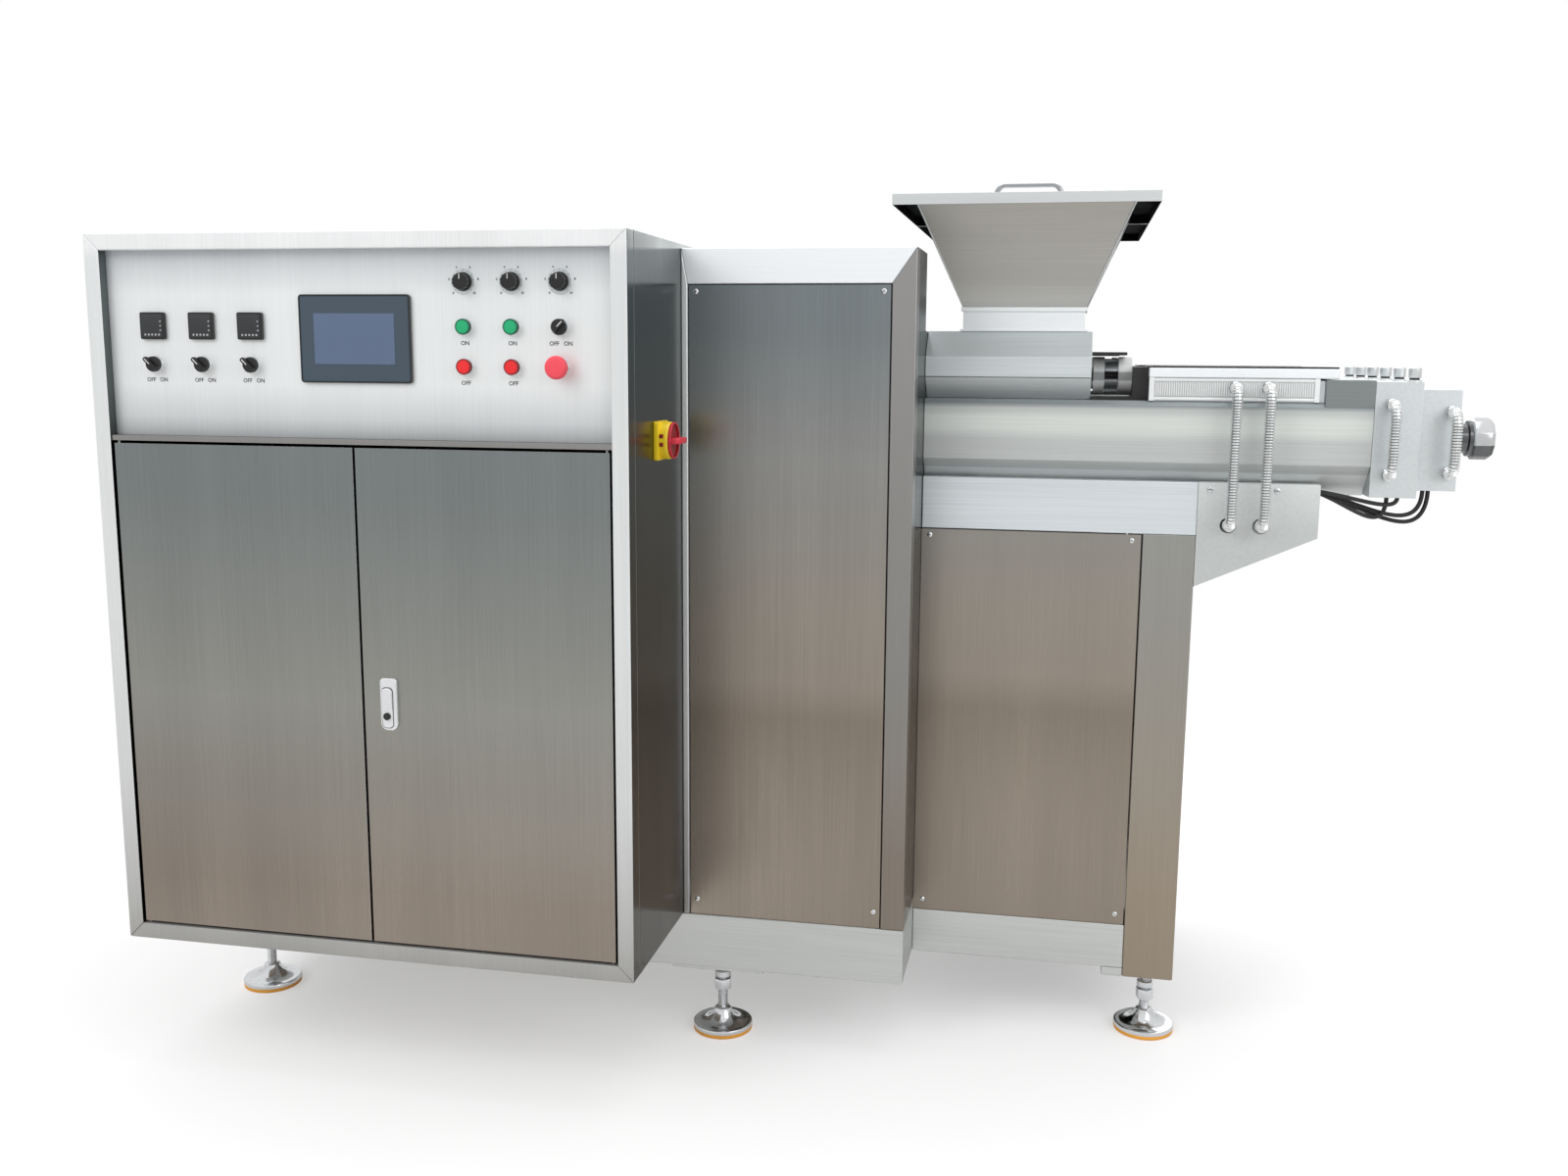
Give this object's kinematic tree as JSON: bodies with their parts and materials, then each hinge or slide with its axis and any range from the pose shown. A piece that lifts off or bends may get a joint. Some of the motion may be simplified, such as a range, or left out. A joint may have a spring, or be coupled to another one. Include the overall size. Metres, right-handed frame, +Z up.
{
  "type": "candy extruder",
  "caption": "Stainless candy extruder: control cabinet with doors and panel, drive tower, hoppers with lids, and barrels on a stand that end in die heads and nozzles.",
  "frame": {"origin": "floor level under the middle of the machine's box", "axes": "+X towards the nozzles, +Y from the cabinet's face to the back, +Z up"},
  "size_m": [2.535, 1.312, 1.721],
  "materials": {
    "sheet_steel": "brushed stainless sheet",
    "frame_steel": "satin stainless tube",
    "panel_steel": "bright brushed stainless",
    "barrel_steel": "ground stainless",
    "hopper_steel": "satin stainless",
    "plated_steel": "bright plating",
    "amber_rubber": "matt rubber",
    "black_plastic": "matt black",
    "screen_plastic": "dark grey moulding",
    "green_plastic": "gloss",
    "red_plastic": "gloss",
    "yellow_plastic": "gloss",
    "conduit_metal": "corrugated bright metal",
    "black_rubber": "matt cable sheath"
  },
  "bodies": {
    "machine": {"base_frame": "frame_steel", "levelling_feet": "plated_steel", "foot_rubbers": "amber_rubber", "cabinet_front_frame": "frame_steel", "cabinet_shell": "sheet_steel", "control_panel": "panel_steel", "touch_screen": "screen_plastic", "temperature_controllers": "black_plastic", "control_bezels": "plated_steel", "main_switch_box": "yellow_plastic", "tower_frame": "frame_steel", "tower_panel": "sheet_steel", "tower_shell": "sheet_steel", "drive_housing": "sheet_steel", "drive_rear_cover": "sheet_steel", "stand_frame": "frame_steel", "stand_panels": "sheet_steel", "bracket": "frame_steel", "barrels": "barrel_steel", "feed_housings": "barrel_steel", "front_hopper": "hopper_steel", "rear_hopper": "hopper_steel", "couplings": "plated_steel", "bearing_blocks": "black_plastic", "transfer_cases": "barrel_steel", "end_blocks": "barrel_steel", "die_manifold": "barrel_steel", "die_heads": "barrel_steel", "nozzles": "plated_steel", "conduits": "conduit_metal", "heater_leads": "black_rubber"},
    "left_door": {"left_door": "sheet_steel"},
    "right_door": {"right_door": "sheet_steel", "door_lock": "plated_steel"},
    "main_switch_handle": {"main_switch_handle": "red_plastic"},
    "heat_selector_1": {"heat_selector_1": "black_plastic"},
    "heat_selector_2": {"heat_selector_2": "black_plastic"},
    "heat_selector_3": {"heat_selector_3": "black_plastic"},
    "joint_selector": {"joint_selector": "black_plastic"},
    "speed_knob_1": {"speed_knob_1": "black_plastic"},
    "speed_knob_2": {"speed_knob_2": "black_plastic"},
    "speed_knob_3": {"speed_knob_3": "black_plastic"},
    "start_button_1": {"start_button_1": "green_plastic"},
    "start_button_2": {"start_button_2": "green_plastic"},
    "stop_button_1": {"stop_button_1": "red_plastic"},
    "stop_button_2": {"stop_button_2": "red_plastic"},
    "emergency_stop": {"emergency_stop": "red_plastic"},
    "front_lid": {"front_lid": "hopper_steel"},
    "rear_lid": {"rear_lid": "hopper_steel"}
  },
  "joints": [
    {"name": "left_door_hinge", "type": "hinge", "parent": "machine", "child": "left_door", "pos_m": [-1.2265, -0.632, 0.755], "axis": [0, 0, -1], "range_deg": [0, 100]},
    {"name": "right_door_hinge", "type": "hinge", "parent": "machine", "child": "right_door", "pos_m": [-0.2945, -0.632, 0.755], "axis": [0, 0, 1], "range_deg": [0, 100]},
    {"name": "main_switch_turn", "type": "hinge", "parent": "machine", "child": "main_switch_handle", "pos_m": [-0.2275, -0.458, 1.226], "axis": [1, 0, 0], "range_deg": [0, 90]},
    {"name": "heat_selector_1_turn", "type": "hinge", "parent": "machine", "child": "heat_selector_1", "pos_m": [-1.1475, -0.637, 1.356], "axis": [0, 1, 0], "range_deg": [0, 90]},
    {"name": "heat_selector_2_turn", "type": "hinge", "parent": "machine", "child": "heat_selector_2", "pos_m": [-1.0515, -0.637, 1.356], "axis": [0, 1, 0], "range_deg": [0, 90]},
    {"name": "heat_selector_3_turn", "type": "hinge", "parent": "machine", "child": "heat_selector_3", "pos_m": [-0.9555, -0.637, 1.356], "axis": [0, 1, 0], "range_deg": [0, 90]},
    {"name": "joint_selector_turn", "type": "hinge", "parent": "machine", "child": "joint_selector", "pos_m": [-0.3775, -0.637, 1.424], "axis": [0, 1, 0], "range_deg": [-90, 0]},
    {"name": "speed_knob_1_turn", "type": "hinge", "parent": "machine", "child": "speed_knob_1", "pos_m": [-0.5515, -0.634, 1.5], "axis": [0, 1, 0], "range_deg": [-135, 135]},
    {"name": "speed_knob_2_turn", "type": "hinge", "parent": "machine", "child": "speed_knob_2", "pos_m": [-0.4645, -0.634, 1.5], "axis": [0, 1, 0], "range_deg": [-135, 135]},
    {"name": "speed_knob_3_turn", "type": "hinge", "parent": "machine", "child": "speed_knob_3", "pos_m": [-0.3775, -0.634, 1.5], "axis": [0, 1, 0], "range_deg": [-135, 135]},
    {"name": "start_button_1_press", "type": "slide", "parent": "machine", "child": "start_button_1", "axis": [0, 1, 0], "range_m": [0, 0.003], "stiffness_N_per_m": 400},
    {"name": "start_button_2_press", "type": "slide", "parent": "machine", "child": "start_button_2", "axis": [0, 1, 0], "range_m": [0, 0.003], "stiffness_N_per_m": 400},
    {"name": "stop_button_1_press", "type": "slide", "parent": "machine", "child": "stop_button_1", "axis": [0, 1, 0], "range_m": [0, 0.003], "stiffness_N_per_m": 400},
    {"name": "stop_button_2_press", "type": "slide", "parent": "machine", "child": "stop_button_2", "axis": [0, 1, 0], "range_m": [0, 0.003], "stiffness_N_per_m": 400},
    {"name": "emergency_stop_press", "type": "slide", "parent": "machine", "child": "emergency_stop", "axis": [0, 1, 0], "range_m": [0, 0.003]},
    {"name": "front_lid_lift", "type": "slide", "parent": "machine", "child": "front_lid", "axis": [0, 0, 1], "range_m": [0, 0.15]},
    {"name": "rear_lid_lift", "type": "slide", "parent": "machine", "child": "rear_lid", "axis": [0, 0, 1], "range_m": [0, 0.15]}
  ]
}
